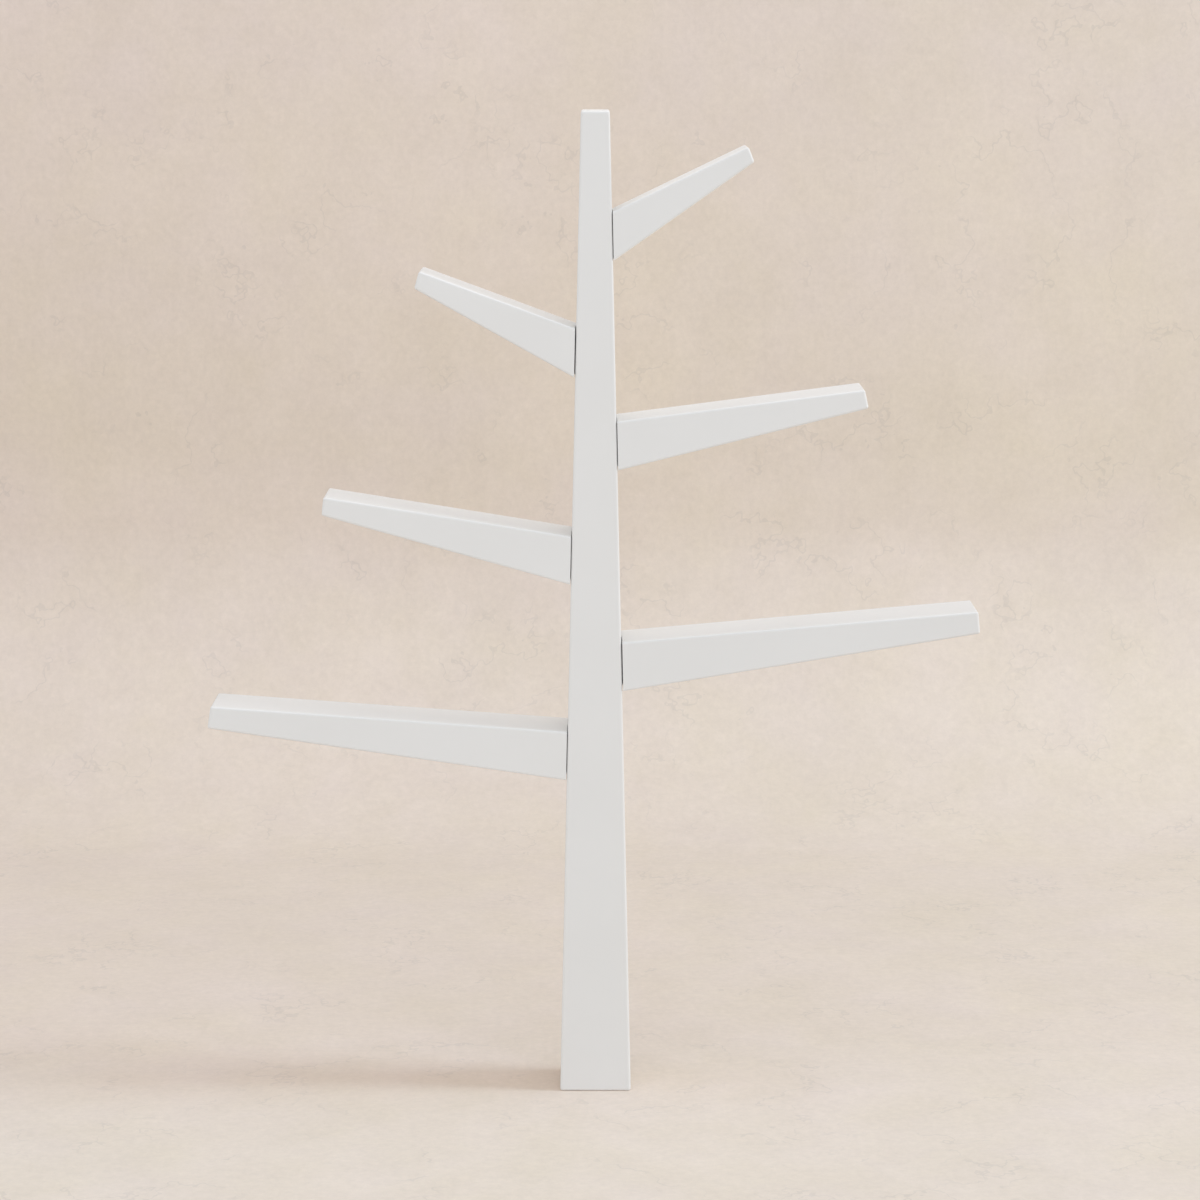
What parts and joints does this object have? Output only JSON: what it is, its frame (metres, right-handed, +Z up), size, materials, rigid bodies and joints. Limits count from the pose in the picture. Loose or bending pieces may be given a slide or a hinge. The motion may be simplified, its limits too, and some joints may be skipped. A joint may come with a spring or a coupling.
{
  "type": "tree shaped bookshelf",
  "caption": "Free-standing white bookshelf shaped like a tree: a tall tapered box trunk with tapered, upward sloping box branches whose top faces hold books.",
  "frame": {"origin": "centre of the trunk's foot, on the floor", "axes": "+Z up along the trunk, +X to the right seen from the front, +Y to the back"},
  "size_m": [1.402, 0.123, 1.8],
  "materials": {
    "lacquer": "satin off-white lacquer on fibreboard",
    "raw_board": "bare fibreboard, inside only",
    "white_steel": "white powder coat",
    "zinc_steel": "bright zinc plated steel",
    "cast_iron": "as cast, dark grey"
  },
  "bodies": {
    "root": {"trunk_front_panel": "lacquer", "trunk_back_panel": "lacquer", "trunk_left_side": "lacquer", "trunk_right_side": "lacquer", "trunk_top_cap": "lacquer", "trunk_base_block": "raw_board", "trunk_rib_lower": "raw_board", "trunk_rib_middle": "raw_board", "trunk_rib_upper": "raw_board", "foot_ballast": "cast_iron", "back_screw_1": "zinc_steel", "back_screw_2": "zinc_steel", "back_screw_3": "zinc_steel", "back_screw_4": "zinc_steel", "back_screw_5": "zinc_steel", "right_upper_front_cheek": "lacquer", "right_upper_back_cheek": "lacquer", "right_upper_wrap": "lacquer", "right_upper_root_block": "raw_board", "right_upper_joint_plate": "white_steel", "right_upper_bolt_high": "zinc_steel", "right_upper_bolt_low": "zinc_steel", "left_upper_front_cheek": "lacquer", "left_upper_back_cheek": "lacquer", "left_upper_wrap": "lacquer", "left_upper_root_block": "raw_board", "left_upper_joint_plate": "white_steel", "left_upper_bolt_high": "zinc_steel", "left_upper_bolt_low": "zinc_steel", "right_middle_front_cheek": "lacquer", "right_middle_back_cheek": "lacquer", "right_middle_wrap": "lacquer", "right_middle_root_block": "raw_board", "right_middle_joint_plate": "white_steel", "right_middle_bolt_high": "zinc_steel", "right_middle_bolt_low": "zinc_steel", "left_middle_front_cheek": "lacquer", "left_middle_back_cheek": "lacquer", "left_middle_wrap": "lacquer", "left_middle_root_block": "raw_board", "left_middle_joint_plate": "white_steel", "left_middle_bolt_high": "zinc_steel", "left_middle_bolt_low": "zinc_steel", "right_lower_front_cheek": "lacquer", "right_lower_back_cheek": "lacquer", "right_lower_wrap": "lacquer", "right_lower_root_block": "raw_board", "right_lower_joint_plate": "white_steel", "right_lower_bolt_high": "zinc_steel", "right_lower_bolt_low": "zinc_steel", "left_lower_front_cheek": "lacquer", "left_lower_back_cheek": "lacquer", "left_lower_wrap": "lacquer", "left_lower_root_block": "raw_board", "left_lower_joint_plate": "white_steel", "left_lower_bolt_high": "zinc_steel", "left_lower_bolt_low": "zinc_steel"}
  },
  "joints": []
}
